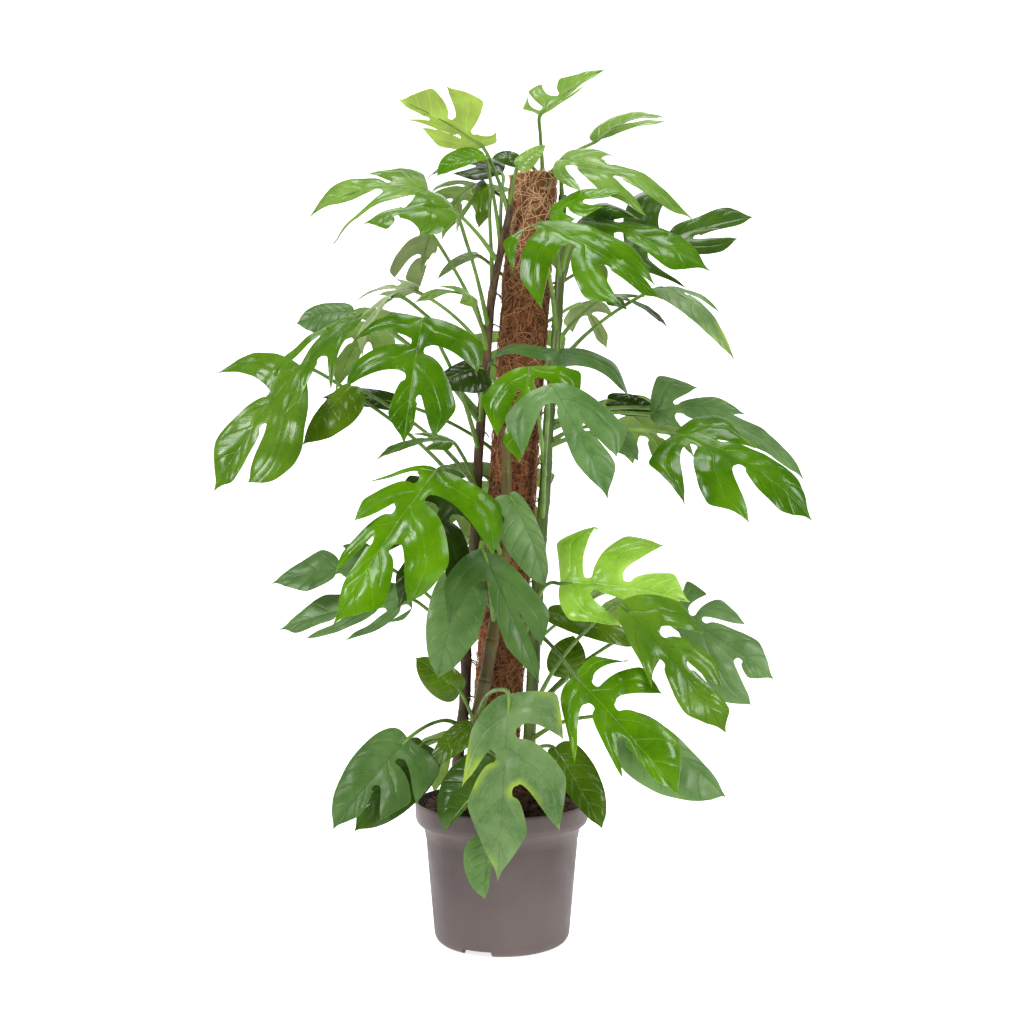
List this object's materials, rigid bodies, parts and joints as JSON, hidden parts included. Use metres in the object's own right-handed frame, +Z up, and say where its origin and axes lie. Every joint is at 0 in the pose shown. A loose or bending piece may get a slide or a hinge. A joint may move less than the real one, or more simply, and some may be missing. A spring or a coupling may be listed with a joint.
{
  "type": "potted climbing aroid plant",
  "caption": "Climbing house plant with deeply split leaves on a leaning coir pole, in a tapered plastic nursery pot that stands on its foot.",
  "frame": {"origin": "centre of the pot's foot, on the surface it stands on", "axes": "+Z up, +X to the right and -Y towards the viewer in the plant's front view"},
  "size_m": [0.6344, 0.5339, 0.9462],
  "materials": {
    "pot_plastic": "satin moulded taupe grey",
    "soil": "matt crumbled peat and coir",
    "coir": "matt matted fibre",
    "stem_green": "satin",
    "stem_brown": "satin",
    "leaf_pale": "satin young leaf and pale underside",
    "leaf_bright": "glossy",
    "leaf_mid": "glossy",
    "leaf_blue": "waxy blue-green sheen",
    "leaf_sage": "waxy grey-green sheen",
    "leaf_dark": "glossy, shaded",
    "leaf_olive": "satin underside",
    "leaf_grey": "waxy grey-green sheen"
  },
  "bodies": {
    "root": {"pot": "pot_plastic", "soil": "soil", "coir_pole": "coir", "vine_right": "stem_green", "vine_left": "stem_brown", "vine_low": "stem_green", "vine_back_leafy": "leaf_mid", "leaf_crown_left_young": "leaf_pale", "leaf_crown_low": "leaf_bright", "leaf_crown_inner": "leaf_bright", "leaf_left_low_upper": "leaf_dark", "leaf_left_inner_dark": "leaf_dark", "leaf_upper_left_long": "leaf_mid", "leaf_upper_left_front": "leaf_mid", "leaf_upper_left_hanging": "leaf_grey", "leaf_upper_left_inner": "leaf_dark", "leaf_upper_left_low": "leaf_dark", "leaf_crown_right_long": "leaf_mid", "leaf_upper_right_fold": "leaf_bright", "leaf_upper_right_front": "leaf_bright", "leaf_upper_right_mid": "leaf_mid", "leaf_right_edge_on": "leaf_mid", "leaf_right_under": "leaf_dark", "leaf_far_left": "leaf_mid", "leaf_left_edge_on": "leaf_mid", "leaf_left_shoulder": "leaf_dark", "leaf_left_shoulder_back": "leaf_mid", "leaf_left_grey_lobe": "leaf_grey", "leaf_left_inner_top": "leaf_mid", "leaf_left_front": "leaf_bright", "leaf_left_behind": "leaf_olive", "leaf_left_low_small": "leaf_mid", "leaf_centre_arch": "leaf_blue", "leaf_centre_bright": "leaf_bright", "leaf_centre_blue": "leaf_blue", "leaf_centre_grey": "leaf_blue", "leaf_left_low_front": "leaf_bright", "leaf_left_low_dark": "leaf_dark", "leaf_hanging_blue": "leaf_blue", "leaf_hanging_companion": "leaf_blue", "leaf_left_low_back": "leaf_dark", "leaf_small_round": "leaf_olive", "leaf_right_front": "leaf_bright", "leaf_right_blue": "leaf_blue", "leaf_right_tip_behind": "leaf_dark", "leaf_right_low_small": "leaf_dark", "leaf_right_low_bright": "leaf_bright", "leaf_right_low_glossy": "leaf_mid", "leaf_right_low_shade": "leaf_dark", "leaf_right_low_back": "leaf_blue", "leaf_right_low_front": "leaf_bright", "leaf_right_low_blue": "leaf_blue", "leaf_right_low_olive": "leaf_olive", "leaf_bottom_left": "leaf_blue", "leaf_bottom_left_under": "leaf_olive", "leaf_bottom_inner": "leaf_mid", "leaf_bottom_front": "leaf_sage", "leaf_bottom_dark": "leaf_blue", "leaf_bottom_hanging": "leaf_mid", "leaf_bottom_right": "leaf_mid"}
  },
  "joints": []
}
